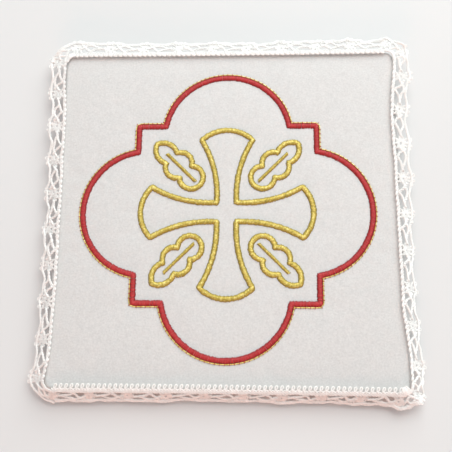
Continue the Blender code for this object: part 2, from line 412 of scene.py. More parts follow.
# %% White cotton
def make_white_cotton():
    """Matte cotton with fine hairs and a slow unevenness of its yarn."""
    material, tree, shader = new_material(
        "white_cotton_finish", 0.85, Sheen_Weight=0.2, Sheen_Roughness=0.5, Specular_IOR_Level=0.2
    )
    place = tree.nodes.new("ShaderNodeTexCoord").outputs["Object"]
    fibre = place_group(tree, fibre_group, Place=place, Hairs=7000.0, Patches=500.0)
    colour = ramp(tree, fibre.outputs["Shade"], [(0.2, (0.88, 0.86, 0.83)), (0.7, (0.97, 0.96, 0.94))])
    tree.links.new(colour, shader.inputs["Base Color"])
    tree.links.new(bump(tree, fibre.outputs["Height"], 0.5, 0.00008), shader.inputs["Normal"])
    return material


white_cotton = make_white_cotton()


# %% Red thread
def read_rise_for_painted_shade(tree):
    """How high a stitch stands over the cloth, from nought to one, kept on its points, for painted shade.
    """
    node = tree.nodes.new("ShaderNodeAttribute")
    node.attribute_name = "rise"
    return node.outputs["Fac"]


def make_red_thread():
    """Lustrous red thread, with painted shade where a stitch goes down into the cloth and a painted
    highlight on its top.
    """
    material, tree, shader = new_material(
        "red_thread_finish", 0.42, Sheen_Weight=0.2, Sheen_Roughness=0.35, Specular_IOR_Level=0.4
    )
    place = tree.nodes.new("ShaderNodeTexCoord").outputs["Object"]
    fibre = place_group(tree, fibre_group, Place=place, Hairs=6000.0, Patches=1100.0)
    tone = math(tree, "ADD", math(tree, "MULTIPLY", fibre.outputs["Shade"], 0.8), read_rise_for_painted_shade(tree))
    # Painted shade and highlight: the ramp runs from dark red at a stitch's low ends to bright red on its
    # top, and the fibre's patches vary the tone at random
    colour = ramp(
        tree, tone,
        [(0.5, (0.25, 0.012, 0.015)), (1.05, (0.42, 0.02, 0.025)), (1.6, (0.62, 0.06, 0.06))],
    )
    tree.links.new(colour, shader.inputs["Base Color"])
    tree.links.new(bump(tree, fibre.outputs["Height"], 0.3, 0.00006), shader.inputs["Normal"])
    return material


red_thread = make_red_thread()


# %% Gold thread
def make_gold_thread():
    """Metallic gold thread, with painted shade where a stitch goes down, a painted highlight on its top,
    and patches that vary its tone and paint glints.
    """
    material, tree, shader = new_material("gold_thread_finish", 0.4, 0.45, Specular_IOR_Level=0.5)
    place = tree.nodes.new("ShaderNodeTexCoord").outputs["Object"]
    fibre = place_group(tree, fibre_group, Place=place, Hairs=4500.0, Patches=1300.0)
    rise = math(tree, "MULTIPLY", read_rise_for_painted_shade(tree), 0.8)
    tone = math(tree, "ADD", math(tree, "MULTIPLY", fibre.outputs["Shade"], 1.3), rise)
    # Painted shade, highlight and glints: dull olive at a stitch's low ends and gold to bright yellow on
    # its top, while the fibre's patches vary the tone at random and paint bright glints
    colour = ramp(
        tree, tone,
        [(0.6, (0.36, 0.28, 0.08)), (1.05, (0.47, 0.36, 0.07)), (1.35, (0.68, 0.53, 0.11)),
         (1.65, (0.95, 0.84, 0.33))],
    )
    tree.links.new(colour, shader.inputs["Base Color"])
    tree.links.new(bump(tree, fibre.outputs["Height"], 0.6, 0.0001), shader.inputs["Normal"])
    return material


gold_thread = make_gold_thread()
print("finishes:", [m.name for m in bpy.data.materials if m.name.endswith("finish")])

# %% [markdown]
# ## The drawn design
#
# A stitcher draws the design on the cloth first. Here it is a barbed quatrefoil, a cross with
# widening arms and four leaves, all of them old church ornament. Each is a closed path made of
# arcs. The pad's cloth is pinned down along these paths, and the stitches then follow them.

# %% Arcs and turned copies
def arc_between(start, end, bulge, steps):
    """Points from start, up to but not at end, along an arc that bulges to the right of the
    way there, or to the left if bulge is negative. The bulge is less than half the way."""
    (x0, y0), (x1, y1) = start, end
    chord = hypot(x1 - x0, y1 - y0)
    radius = (chord**2 / 4 + bulge**2) / (2 * abs(bulge))
    half = asin(chord / 2 / radius)
    side = copysign(1.0, bulge)
    right_x, right_y = (y1 - y0) / chord, -(x1 - x0) / chord
    back = radius * cos(half) * side
    centre_x = (x0 + x1) / 2 - right_x * back
    centre_y = (y0 + y1) / 2 - right_y * back
    first = atan2(y0 - centre_y, x0 - centre_x)
    angles = [first + 2 * half * side * step / steps for step in range(steps)]
    return [(centre_x + radius * cos(a), centre_y + radius * sin(a)) for a in angles]


def turned_four_ways(points):
    """The points followed by their copies turned by one, two and three right angles."""
    path = []
    for _ in range(4):
        path += points
        points = [(-y, x) for x, y in points]
    return path


# %% Quatrefoil, cross and leaves
LOBE_CENTRE = 37.5 * MM
LOBE_RADIUS = 29.5 * MM
BARB = 42 * MM
CROSS_WAIST = 4.6 * MM
CROSS_REACH = 40 * MM
CROSS_FLARE = 12 * MM
CROSS_BULGE = 5 * MM
CROSS_HOLLOW = 2.4 * MM
LEAF_START = 18 * MM
# One half of a leaf from its stem to its tip: along, across, and how far the arc bulges
LEAF_ARCS = (
    (9.5 * MM, 4.0 * MM, 3.4 * MM),
    (19.0 * MM, 3.6 * MM, 2.9 * MM),
    (29.0 * MM, 0.0 * MM, 2.4 * MM),
)
ARC_STEPS = 24


def quatrefoil_path():
    """Four round lobes with a pointed barb between each two."""
    half = acos((BARB - LOBE_CENTRE) / LOBE_RADIUS)
    angles = np.linspace(-half, half, 2 * ARC_STEPS)
    lobe = [(LOBE_CENTRE + LOBE_RADIUS * cos(a), LOBE_RADIUS * sin(a)) for a in angles]
    return np.array(turned_four_ways(lobe + [(BARB, BARB)]))


def cross_path():
    """A cross whose four arms widen in a curve to rounded ends."""
    inner, tip = (CROSS_WAIST, -CROSS_WAIST), (CROSS_REACH - CROSS_BULGE, -CROSS_FLARE)
    flare = arc_between(inner, tip, -CROSS_HOLLOW, ARC_STEPS)
    end = arc_between(tip, (tip[0], CROSS_FLARE), CROSS_BULGE, ARC_STEPS)
    mirrored = [(x, -y) for x, y in reversed(flare[1:])]
    return np.array(turned_four_ways(flare + end + [(tip[0], CROSS_FLARE)] + mirrored))


def leaf_place(direction, points):
    """Points along and across a leaf, turned to its direction from the middle of the face."""
    x, y = np.asarray(points, float).T
    x = x + LEAF_START
    return np.column_stack(
        [x * cos(direction) - y * sin(direction), x * sin(direction) + y * cos(direction)]
    )


def leaf_path(direction):
    """A leaf with three lobes a side, whose stem end points at the middle of the face."""
    half = []
    here = (0.0, 0.0)
    for along, across, bulge in LEAF_ARCS:
        half += arc_between(here, (along, -across), bulge, ARC_STEPS // 2)
        here = (along, -across)
    return leaf_place(direction, half + [here] + [(x, -y) for x, y in reversed(half[1:])])


LEAF_DIRECTIONS = [pi / 4 + number * pi / 2 for number in range(4)]
design = {"red_quatrefoil": quatrefoil_path(), "gold_cross": cross_path()}
for number, direction in enumerate(LEAF_DIRECTIONS):
    design[f"gold_leaf_{number + 1}"] = leaf_path(direction)
for name, path in design.items():
    around = np.linalg.norm(path - np.roll(path, 1, axis=0), axis=1).sum()
    print(f"{name}: {around / MM:.0f} mm of stitching")

# %% [markdown]
# ## The pad
#
# The pad is a stiff board in a cloth cover. It could be one rounded box, but real cloth swells
# a little between the lines that hold it down. So the box is blocked out with bevelled edges,
# cut into small squares, and pinned along the design and the rims. A short cloth simulation
# with a little pressure then lifts the cloth between the pins, by less than half a millimetre.

# %% Block out the pad
CLOTH_SQUARE = 2 * MM
SEAM_HEIGHT = 2.9 * MM
SEAM_GROOVE = 0.22 * MM
SEAM_HALF_WIDTH = 0.35 * MM
SAME_PLACE = 1e-6


def block_out_pad():
    """A box of the pad's size with rounded corners and rims."""
    start_piece()
    bpy.ops.mesh.primitive_cube_add(size=1, location=(0, 0, HEIGHT / 2), scale=(SIDE, SIDE, HEIGHT))
    pad = bpy.context.object
    pad.name = "pad_cover"
    bpy.ops.object.transform_apply(location=True, rotation=False, scale=True)
    rims = (
        (lambda a, b: abs(a.z - b.z) > HEIGHT / 2, CORNER_RADIUS, 5),
        (lambda a, b: min(a.z, b.z) > HEIGHT - SAME_PLACE, TOP_RIM_RADIUS, 4),
        (lambda a, b: max(a.z, b.z) < SAME_PLACE, BOTTOM_RIM_RADIUS, 3),
    )
    for test, radius, segments in rims:
        pick(pad, edges=test)
        bpy.ops.mesh.bevel(offset=radius, segments=segments, affect="EDGES")
        bpy.ops.object.mode_set(mode="OBJECT")
    return pad


def cut_into_squares(pad):
    """Opens the flat underside, and cuts the rest by planes so that the cloth can bend."""
    pick(pad, faces=lambda middle, normal: middle.z < SAME_PLACE)
    bpy.ops.mesh.delete(type="FACE")
    halfway = int(HALF / CLOTH_SQUARE)
    planes = []
    for normal in ((1, 0, 0), (0, 1, 0)):
        for step in range(1 - halfway, halfway):
            planes.append(([n * step * CLOTH_SQUARE for n in normal], normal))
    for off in (-2, -1, 0, 1, 2):
        planes.append(((0, 0, SEAM_HEIGHT + off * SEAM_HALF_WIDTH), (0, 0, 1)))
    for point, normal in planes:
        bpy.ops.mesh.select_all(action="SELECT")
        bpy.ops.mesh.bisect(plane_co=point, plane_no=normal)
    bpy.ops.object.mode_set(mode="OBJECT")


pad_cover = block_out_pad()
cut_into_squares(pad_cover)
print(f"pad blocked out in {len(pad_cover.data.polygons)} faces")


# %% Crown the face, draw in the sides and press in the seam
def shape_pad(pad):
    """Gives the box its crown, its drawn-in sides and the groove of its seam."""
    points = points_of(pad)
    on_top = points[:, 2] > HEIGHT - SAME_PLACE
    points[on_top, 2] = face_height(points[on_top, 0], points[on_top, 1])
    on_seam = np.abs(points[:, 2] - SEAM_HEIGHT) < SEAM_HALF_WIDTH / 2
    outward = points[on_seam, :2] / HALF
    outward = np.sign(outward) * (np.abs(outward) > 1 - SAME_PLACE / HALF)
    points[on_seam, :2] -= outward * SEAM_GROOVE
    points[:, 0], points[:, 1] = drawn_in(points[:, 0], points[:, 1])
    put_points(pad, points)


shape_pad(pad_cover)


# %% Pin the cloth where it is sewn or wrapped
PIN_REACH = 1.9 * MM
LACE_COVERS = 6 * MM
DESIGN_STEP = 0.8 * MM
POINTS_AT_ONCE = 2000


def distance_to_design(points):
    """How far each point lies from the nearest line of the design, seen from above."""
    lines = np.vstack([resample(path, DESIGN_STEP, closed=True) for path in design.values()])
    nearest = []
    for start in range(0, len(points), POINTS_AT_ONCE):
        part = points[start : start + POINTS_AT_ONCE, None, :2] - lines[None]
        nearest.append(np.sqrt((part**2).sum(axis=2)).min(axis=1))
    return np.concatenate(nearest)


def pin_cloth(pad):
    """Holds the cloth under the stitches, under the lace and round the sides."""
    points = points_of(pad)
    held = distance_to_design(points) < PIN_REACH
    held |= np.abs(points[:, :2]).max(axis=1) > HALF - LACE_COVERS
    held |= points[:, 2] < HEIGHT - TOP_RIM_RADIUS / 2
    pins = pad.vertex_groups.new(name="sewn")
    pins.add([int(i) for i in np.flatnonzero(held)], 1.0, "REPLACE")
    print(f"{held.sum()} of {len(points)} points are held down")


pin_cloth(pad_cover)

# %% Let the cloth swell between its stitches
SWELL_LIMIT = 0.42 * MM
SWELL_FRAMES = 20
STIFFNESS = 20
PRESSURE = 1.2
SHRINK = -0.0012


def swell(pad):
    """Runs a short cloth simulation, keeps its shape and limits how far each point has moved."""
    before = points_of(pad)
    cloth = pad.modifiers.new("swell", "CLOTH")
    settings = cloth.settings
    settings.quality = 5
    settings.mass = 0.15
    settings.tension_stiffness = settings.compression_stiffness = STIFFNESS
    settings.bending_stiffness = 0.4
    settings.use_pressure = True
    settings.uniform_pressure_force = PRESSURE
    settings.shrink_min = SHRINK
    settings.vertex_group_mass = "sewn"
    settings.effector_weights.gravity = 0
    cloth.collision_settings.use_collision = False
    cloth.collision_settings.use_self_collision = False
    cloth.point_cache.frame_end = SWELL_FRAMES
    for number in range(1, SWELL_FRAMES + 1):
        bpy.context.scene.frame_set(number)
    apply_modifiers(pad)
    moved = points_of(pad) - before
    far = np.linalg.norm(moved, axis=1, keepdims=True)
    limited = moved * np.tanh(far / SWELL_LIMIT) * SWELL_LIMIT / np.maximum(far, SAME_PLACE / 100)
    put_points(pad, before + limited)
    bpy.context.scene.frame_set(1)
    print(f"cloth swelled by up to {far.max() / MM:.2f} mm, kept to {np.abs(limited).max() / MM:.2f} mm")


swell(pad_cover)

# %% Round the squares off, close the underside and lay the weave's flat coordinates on
def finish_pad(pad):
    """Smooths the cloth, closes it below, and sets it under the root in place of the imported cover."""
    smooth = pad.modifiers.new("smooth", "SUBSURF")
    smooth.levels = smooth.render_levels = 1
    apply_modifiers(pad)
    pick(pad, edges=lambda a, b: max(a.z, b.z) < SAME_PLACE)
    bpy.ops.mesh.edge_face_add()
    bpy.ops.object.mode_set(mode="OBJECT")
    bpy.ops.object.shade_smooth()
    pad.vertex_groups.clear()
    mesh = pad.data
    flat = mesh.uv_layers.new(name="flat_cloth")
    for face in mesh.polygons:
        steep = max(range(3), key=lambda axis: abs(face.normal[axis]))
        across, along = ((1, 2), (0, 2), (0, 1))[steep]
        for corner in face.loop_indices:
            place = mesh.vertices[mesh.loops[corner].vertex_index].co
            flat.data[corner].uv = (place[across], place[along])
    mesh.materials.clear()
    mesh.materials.append(white_cloth)
    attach(pad, "root")
    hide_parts("cover")


finish_pad(pad_cover)
print(f"pad cover: {triangles(pad_cover)} triangles")

# %% [markdown]
# ## Satin stitch and couching
#
# Satin stitch is a row of threads laid side by side across a line. Each thread comes up at one
# edge, arches over the padding and goes down at the other. A modelled band with a bump map
# would look flat at its edges, so every stitch is a thread of its own. Round a corner the
# stitches fan out, and the outer edge sets how close they stand. Beside the red band a thin
# gold thread is couched, which means laid on the cloth and held down by short ties.

# %% Lay satin stitches along a path
# How far apart the stitches are, and their radius
RED_STITCH = (0.43 * MM, 0.25 * MM)
GOLD_STITCH = (0.54 * MM, 0.285 * MM)
STITCH_STEPS = 5
SATIN_RISE = 0.66 * MM
FINE_STEP = 0.1 * MM
FAN_SHARE = 0.4
# The arch's form, and how unevenly the stitches reach out, slip along and rise, as shares
ARCH_FLATNESS = 2.4
ARCH_SHOULDER = 0.75
RAGGED_ENDS = (-0.16, 0.14)
SLIPS = (-0.05, 0.05)
UNEVEN_RISES = (-0.16, 0.1)


def directions(line, window, closed=True):
    """The way ahead and the way to the left at each point, averaged over a window of points."""
    if closed:
        ahead = np.roll(line, -1, axis=0) - np.roll(line, 1, axis=0)
        stacked = np.vstack([ahead[-window:], ahead, ahead[:window]])
    else:
        ahead = np.gradient(line, axis=0)
        stacked = np.vstack([ahead[:1]] * window + [ahead] + [ahead[-1:]] * window)
    ahead /= np.linalg.norm(ahead, axis=1, keepdims=True)
    kernel = np.ones(2 * window + 1) / (2 * window + 1)
    ahead = np.column_stack([np.convolve(column, kernel, "valid") for column in stacked.T])
    ahead /= np.linalg.norm(ahead, axis=1, keepdims=True)
    return ahead, np.column_stack([-ahead[:, 1], ahead[:, 0]])


def on_face(x, y, rise):
    """Puts plan positions on the pad's face, a given height over it."""
    height = face_height(x, y) + rise
    return np.column_stack([*drawn_in(x, y), height])


def satin(path, width, lean, rise, pitch, closed=True):
    """Threads across a path: width apart at their ends, leaning along it by a share of the width,
    arched over it by the rise, and a pitch apart."""
    line = resample(path, FINE_STEP, closed)
    ahead, left = directions(line, round(width * FAN_SHARE / FINE_STEP), closed)
    edges = [line + left * side * width / 2 for side in (-1, 1)]
    gone = np.max([np.linalg.norm(np.diff(edge, axis=0), axis=1) for edge in edges], axis=0)
    gone = np.r_[0, np.cumsum(gone)]
    stations = np.searchsorted(gone, np.arange(0, gone[-1], pitch))
    shares = np.linspace(-1, 1, STITCH_STEPS + 1)
    arch = (1 - np.abs(shares) ** ARCH_FLATNESS) ** ARCH_SHOULDER
    stitches = []
    for station in stations:
        reach = width / 2 * (1 + chance.uniform(*RAGGED_ENDS))
        across = shares * reach
        slip = (shares * lean + chance.uniform(*SLIPS)) * width / 2
        x, y = (line[station] + left[station] * across[:, None] + ahead[station] * slip[:, None]).T
        stitches.append(on_face(x, y, arch * rise * (1 + chance.uniform(*UNEVEN_RISES))))
    return stitches


# %% The couched line, the veins and the stitches' rise
COUCHED_RADIUS = 0.26 * MM
COUCHED_GAP = 0.3 * MM
TIE_PITCH = 2.1 * MM
TIE_WIDTH = 0.9 * MM
TIE_RADIUS = 0.16 * MM
TIE_RISE = 2.6 * COUCHED_RADIUS
VEIN_WIDTH = 1.3 * MM
VEIN_SPAN = (3 * MM, 22 * MM)
VEIN_RISE = 0.8 * SATIN_RISE


def couched_line(path, width, offset):
    """A thread laid along the outer side of a band, and the short ties that hold it down."""
    line = resample(path, FINE_STEP, closed=True)
    ahead, left = directions(line, round(width * FAN_SHARE / FINE_STEP))
    line = line - left * (width / 2 + offset)
    step = round(4 * COUCHED_RADIUS / FINE_STEP)
    laid = np.vstack([line[::step], line[:1]])
    stations = np.arange(0, len(line), round(TIE_PITCH / FINE_STEP))
    shares = np.linspace(-1, 1, STITCH_STEPS)
    ties = []
    for station in stations:
        x, y = (line[station] + left[station] * shares[:, None] * TIE_WIDTH / 2).T
        ties.append(on_face(x, y, TIE_RISE * (1 - shares**4)))
    return on_face(*laid.T, np.full(len(laid), COUCHED_RADIUS)), ties


def vein(direction):
    """A narrow satin line along the middle of a leaf."""
    line = leaf_place(direction, [(along, 0) for along in np.linspace(*VEIN_SPAN, 12)])
    return satin(line, VEIN_WIDTH, GOLD_LEAN, VEIN_RISE, GOLD_STITCH[0], closed=False)


# The red and gold finishes turn this rise into painted shade at a stitch's low ends and a painted highlight
# on its top
def keep_rise(piece, highest):
    """Keeps on each point how high it stands over the cloth, as a share of the highest."""
    x, y, z = points_of(piece).T
    rise = np.clip((z - face_height(x, y)) / highest, 0, 1)
    piece.data.attributes.new("rise", "FLOAT", "POINT").data.foreach_set("value", rise)


# %% Stitch the design
RED_WIDTH = 2.5 * MM
GOLD_WIDTH = 2.4 * MM
RED_LEAN = 0.05
GOLD_LEAN = 0.5


def sew(name, lines, radius, material, node, rise=SATIN_RISE):
    """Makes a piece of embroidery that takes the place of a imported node."""
    piece = thread_piece(name, lines, radius, material)
    keep_rise(piece, rise + radius)
    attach(piece, "root")
    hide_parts(node)
    print(f"{name}: {len(lines)} threads, {triangles(piece)} triangles")


outline = design["red_quatrefoil"]
laid_thread, ties = couched_line(outline, RED_WIDTH, COUCHED_GAP)
red_pitch, red_radius = RED_STITCH
gold_pitch, gold_radius = GOLD_STITCH
red_lines = satin(outline, RED_WIDTH, RED_LEAN, SATIN_RISE, red_pitch)
sew("red_quatrefoil_stitches", red_lines, red_radius, red_thread, "red_quatrefoil")
sew("red_quatrefoil_ties", ties, TIE_RADIUS, red_thread, "red_quatrefoil")
sew("laid_gold_line", [laid_thread], COUCHED_RADIUS, gold_thread, "red_quatrefoil", 0)
cross_lines = satin(design["gold_cross"], GOLD_WIDTH, GOLD_LEAN, SATIN_RISE, gold_pitch)
sew("gold_cross_stitches", cross_lines, gold_radius, gold_thread, "gold_cross")
for number, direction in enumerate(LEAF_DIRECTIONS):
    leaf_name = f"gold_leaf_{number + 1}"
    leaf_lines = satin(design[leaf_name], GOLD_WIDTH, GOLD_LEAN, SATIN_RISE, gold_pitch)
    leaf_lines += vein(direction)
    sew(leaf_name + "_stitches", leaf_lines, gold_radius, gold_thread, leaf_name)

# %% [markdown]
# ## How the lace hangs
#
# The lace is one narrow strip, made flat and then sewn along the pad's edge. Two numbers place
# a point on it: the repeats of the pattern from the front left corner, and how far past the
# edge it lies. The strip lies on the face, bends over the rim, droops by its own angle at each
# place, and curls up a little at its outer edge. At the corners more lace is gathered in, and
# along the left and right sides the strip is sewn a little further in over the face.

# %% The strip's sizes and droop
GAP = 0.3 * MM
LACE_THICKNESS = 1.0 * MM
BEND_ALLOWANCE = 0.15 * MM
LACE_LIFT = GAP + LACE_THICKNESS / 2 + BEND_ALLOWANCE
LACE_REPEAT = 16.8 * MM
LACE_REACH = 9.2 * MM
CURL_START = 5.6 * MM
CURL_ANGLE = radians(30)
FULL_CURL_AT = radians(55)
SIDE_REPEATS = 9
STRAIGHT = SIDE_REPEATS * LACE_REPEAT
SIDE_NAMES = ("front", "right", "back", "left")
# Repeats gathered into the corner at each side's end, going round from the front
CORNER_REPEATS = np.array([1.5, 1.5, 1.0, 1.0])
SIDE_STARTS = np.r_[0, np.cumsum(SIDE_REPEATS + CORNER_REPEATS)]
ALL_REPEATS = SIDE_STARTS[-1]
# Repeats from the front left corner, and degrees below level
DROOP = np.array(
    [
        (0.0, 47), (2.0, 55), (5.0, 58), (8.0, 54), (9.75, 30), (11.5, 37), (13.0, 40),
        (14.8, 28), (16.6, 11), (19.5, 7), (20.25, 10), (22.0, 18), (25.5, 23), (29.0, 18),
        (30.5, 10), (33.5, 14), (36.0, 23), (38.5, 26), (39.8, 30), (41.0, 47),
    ]
)
# How far the strip is sewn in over the face: repeats from the front left corner, and millimetres
INSET = np.array(
    [
        (0.0, 0.0), (10.9, 0.0), (12.6, 2.0), (16.0, 2.2), (17.8, 2.7), (19.5, 0.5), (20.6, 0.0),
        (31.3, 0.0), (32.7, 1.5), (35.8, 2.1), (37.2, 2.6), (39.0, 2.3), (40.2, 0.4), (41.0, 0.0),
    ]
)
# Slow waves in the droop: how many go round the pad, their size in degrees, where they start
DROOP_WAVES = ((12, 2.4, 0.6), (23, 1.8, 2.1))
# Ruffles at the gathered corners: middle in repeats, width in repeats, height at the outer edge
RUFFLES = (
    (9.75, 1.5, 1.5 * MM), (20.25, 1.5, 1.7 * MM), (30.5, 1.0, 0.9 * MM), (40.5, 1.0, 0.4 * MM),
)
RUFFLE_WAVE = 0.75


# %% From a place on the strip to a place in space
def eased(share):
    """Takes nought to one to nought to one, slowly at both ends."""
    return (1 - np.cos(pi * share)) / 2


def edge_line(t):
    """The pad's edge at t repeats along the lace: points on it and the ways out from it."""
    t = np.mod(t, ALL_REPEATS)
    side = np.searchsorted(SIDE_STARTS, t, side="right") - 1
    along = t - SIDE_STARTS[side]
    past = np.maximum(along - SIDE_REPEATS, 0) / CORNER_REPEATS[side]
    direction = (past - 1) * pi / 2
    start = np.minimum(along, SIDE_REPEATS) * LACE_REPEAT - STRAIGHT / 2
    x = start + CORNER_RADIUS * np.cos(direction)
    y = CORNER_RADIUS * np.sin(direction) - STRAIGHT / 2
    turned = side * pi / 2
    point = x * np.cos(turned) - y * np.sin(turned), x * np.sin(turned) + y * np.cos(turned)
    return point, (np.cos(direction + turned), np.sin(direction + turned))


def from_table(table, t):
    """The value at t repeats, eased from one row of the table to the next."""
    t = np.mod(t, ALL_REPEATS)
    row = np.clip(np.searchsorted(table[:, 0], t, side="right") - 1, 0, len(table) - 2)
    (start, low), (end, high) = table[row].T, table[row + 1].T
    return low + (high - low) * eased((t - start) / (end - start))


def droop_at(t):
    """The angle that the lace hangs below level at t repeats."""
    angle = from_table(DROOP, t)
    for waves, size, offset in DROOP_WAVES:
        angle = angle + size * np.sin(2 * pi * waves * t / ALL_REPEATS + offset)
    return np.radians(angle)


def ruffle_at(t):
    """The rise or fall of the outer edge where the lace is gathered round a corner."""
    rise = np.zeros_like(t)
    for middle, width, size in RUFFLES:
        off = np.mod(t - middle + ALL_REPEATS / 2, ALL_REPEATS) - ALL_REPEATS / 2
        fade = 1 - eased(np.minimum(np.abs(off) / width, 1))
        rise += size * np.cos(2 * pi * off / RUFFLE_WAVE) * fade
    return rise


def hang(v, droop):
    """Where points v past the edge line come to lie: out from that line, and their height."""
    radius = TOP_RIM_RADIUS + LACE_LIFT
    bend = np.minimum(np.maximum(0.0, (v + TOP_RIM_RADIUS) / radius), droop)
    out = np.where(v < -TOP_RIM_RADIUS, v, radius * np.sin(bend) - TOP_RIM_RADIUS)
    height = HEIGHT - TOP_RIM_RADIUS + radius * np.cos(bend)
    straight = np.maximum(0.0, np.minimum(v, CURL_START) - (radius * droop - TOP_RIM_RADIUS))
    out = out + straight * np.cos(droop)
    height = height - straight * np.sin(droop)
    rate = CURL_ANGLE * np.minimum(1.0, droop / FULL_CURL_AT) / (LACE_REACH - CURL_START)
    turned = droop - rate * np.maximum(0.0, v - CURL_START)
    out += (np.sin(droop) - np.sin(turned)) / rate
    height -= (np.cos(turned) - np.cos(droop)) / rate
    return out, height


def strip_point(t, v):
    """The strip's middle surface at t repeats, v past the edge line before the inset."""
    v = v - from_table(INSET, t) * MM
    (x, y), (out_x, out_y) = edge_line(t)
    out, height = hang(v, droop_at(t))
    height = height + ruffle_at(t) * (np.maximum(v, 0) / LACE_REACH) ** 2
    x, y = x + out_x * out, y + out_y * out
    height += face_height(x, y) - HEIGHT
    return np.column_stack([*drawn_in(x, y), height])


NUDGE = 0.02 * MM


def on_strip(line):
    """Takes points along and across the flat strip and off it, in millimetres, to their place."""
    along, v, rise = np.asarray(line).T * MM
    t = along / LACE_REPEAT
    here = strip_point(t, v)
    ahead = strip_point(t + NUDGE / LACE_REPEAT, v) - here
    outward = strip_point(t, v + NUDGE) - here
    # This points towards the cloth, so a rise lowers a thread and the drop lifts the whole lace.
    # Its nearest threads hover 0.7 to 1.0 mm off the pad, which is a fault.
    up = np.cross(outward, -ahead)
    up /= np.linalg.norm(up, axis=1, keepdims=True)
    return here + up * rise[:, None]


corners = strip_point(np.array([0.0, 10.0, 20.0, 30.0]), np.full(4, LACE_REACH))
print("outer edge at four places, mm:", (corners / MM).round(1).tolist())

# %% [markdown]
# ## Lace thread by thread
#
# Bobbin lace has few elements. A plait is two pairs of thread twisted together, and each pair
# is one strand here. A leaf is a thread woven back and forth between bulging sides. A picot is
# a small loop on the outer edge. Each is a line on the flat strip, in millimetres along, across
# and above it. The lines are bent round the pad before they get their thickness, so every
# thread stays round.

# %% Plaits, leaves and loops
COTTON_RADIUS = 0.3 * MM
# In millimetres: the step along a line, a plait's full turn, half its width and depth, and a
# leaf's pitch
THREAD_STEP = 0.38
PLAIT_STRANDS = 2
PLAIT_TURN = 2.6
PLAIT_SPREAD = 0.4
PLAIT_DEPTH = 0.15
LEAF_PITCH = 0.48
# How narrow a leaf starts, how full its sides are, and how high its thread lies
LEAF_TIP = 0.06
LEAF_FULLNESS = 0.7
LEAF_RISES = (0.2, 0.38)
LOOP_ROUNDNESS = 0.35


def plait(points):
    """Two strands twisted round each other along a smooth line through the points."""
    line = smooth_line([(*p, 0)[:3] for p in points], THREAD_STEP)
    ahead = np.gradient(line, axis=0)
    length = np.linalg.norm(ahead, axis=1)
    gone = np.r_[0, np.cumsum((length[1:] + length[:-1]) / 2)]
    left = np.column_stack([-ahead[:, 1], ahead[:, 0]]) / length[:, None]
    start = line[0, 0]
    strands = []
    for number in range(PLAIT_STRANDS):
        phase = 2 * pi * ((gone + start) / PLAIT_TURN + number / PLAIT_STRANDS)
        strand = line.copy()
        strand[:, :2] += left * PLAIT_SPREAD * np.cos(phase)[:, None]
        strand[:, 2] += PLAIT_DEPTH * np.sin(phase)
        strands.append(strand)
    return strands


def leaf(start, end, width):
    """One thread woven back and forth between two bulging sides."""
    start, end = np.array(start, float), np.array(end, float)
    length = np.linalg.norm(end - start)
    ahead = (end - start) / length
    left = np.array([-ahead[1], ahead[0]])
    turns = ceil(length / LEAF_PITCH)
    steps = np.arange(turns * 2 + 1)
    share = steps / steps[-1]
    half = width / 2 * np.sin(pi * (LEAF_TIP + (1 - 2 * LEAF_TIP) * share)) ** LEAF_FULLNESS
    across = half * np.array([-1, 0, 1, 0])[steps % 4]
    rise = np.array(LEAF_RISES)[steps % 2]
    flat = start + ahead * (share * length)[:, None] + left * across[:, None]
    return [np.column_stack([flat, rise])]


def loop(base, tip, width, rise=0.05, steps=9):
    """A rounded loop that leaves its base and comes back to it."""
    base, tip = np.array(base, float), np.array(tip, float)
    ahead = tip - base
    left = np.array([-ahead[1], ahead[0]]) / np.linalg.norm(ahead)
    angle = np.linspace(0, 2 * pi, steps)
    share = (1 - np.cos(angle)) / 2
    across = width / 2 * np.sin(angle) * share**LOOP_ROUNDNESS
    flat = base + ahead * share[:, None] + left * across[:, None]
    return [np.column_stack([flat, np.full(steps, rise)])]


# %% [markdown]
# ## One repeat of the pattern
#
# The picture shows a dense cluster of leaves every 16.8 mm, with three picots beyond it. The
# ground between two clusters is three plaits that branch and cross. They leave two holes beside
# the footing, a longer one below them, and slits along the outer braid. In front and at the
# back the lace looks closer, so a second footing and a second outer braid run beside the first.
# Small loops, the teeth, stand inwards from the footing, long in front and short elsewhere.

# %% The repeat's lines
# Places are in millimetres: along the repeat, and out past the edge line before the inset
CLUSTER = (-0.9, 3.5)
LEAF_START_SHARE = 0.16
LEAF_WIDTH = 1.3
CLUSTER_LEAVES = (
    (-2.9, 1.1), (-0.6, 0.9), (1.6, 1.1), (2.6, 2.7), (2.6, 4.4), (1.9, 6.6),
    (-0.2, 7.2), (-2.4, 6.9), (-3.7, 5.2), (-3.4, 3.1),
)
GROUND_PLAITS = (
    ((2.2, 3.7), (3.8, 3.3), (5.4, 2.9), (7.4, 2.3), (9.2, 1.2)),
    (
        (4.6, 3.3), (6.2, 4.2), (7.8, 4.95), (9.6, 5.2),
        (11.0, 4.8), (12.2, 4.0), (13.6, 3.2), (14.4, 2.7),
    ),
    ((9.2, 1.1), (10.3, 2.0), (11.2, 3.2), (12.3, 4.4), (13.6, 5.4)),
)
PICOTS = (
    # along and across of its base, along and across of its tip, width
    ((-3.2, 6.6), (-3.9, 8.1), 1.2),
    ((-1.5, 7.2), (-1.8, 8.9), 1.4),
    ((0.8, 7.1), (1.2, 8.8), 1.4),
)
# Where the footing's plaits run on each side, and the step of their points
FOOTINGS = {"front": (-0.6, 0.25), "right": (0.25,), "back": (-0.6, 0.25), "left": (0.25,)}
FOOTING_STEP = 2.1
# Keeps the footing's last point from being lost to rounding
PAST_END = 0.1
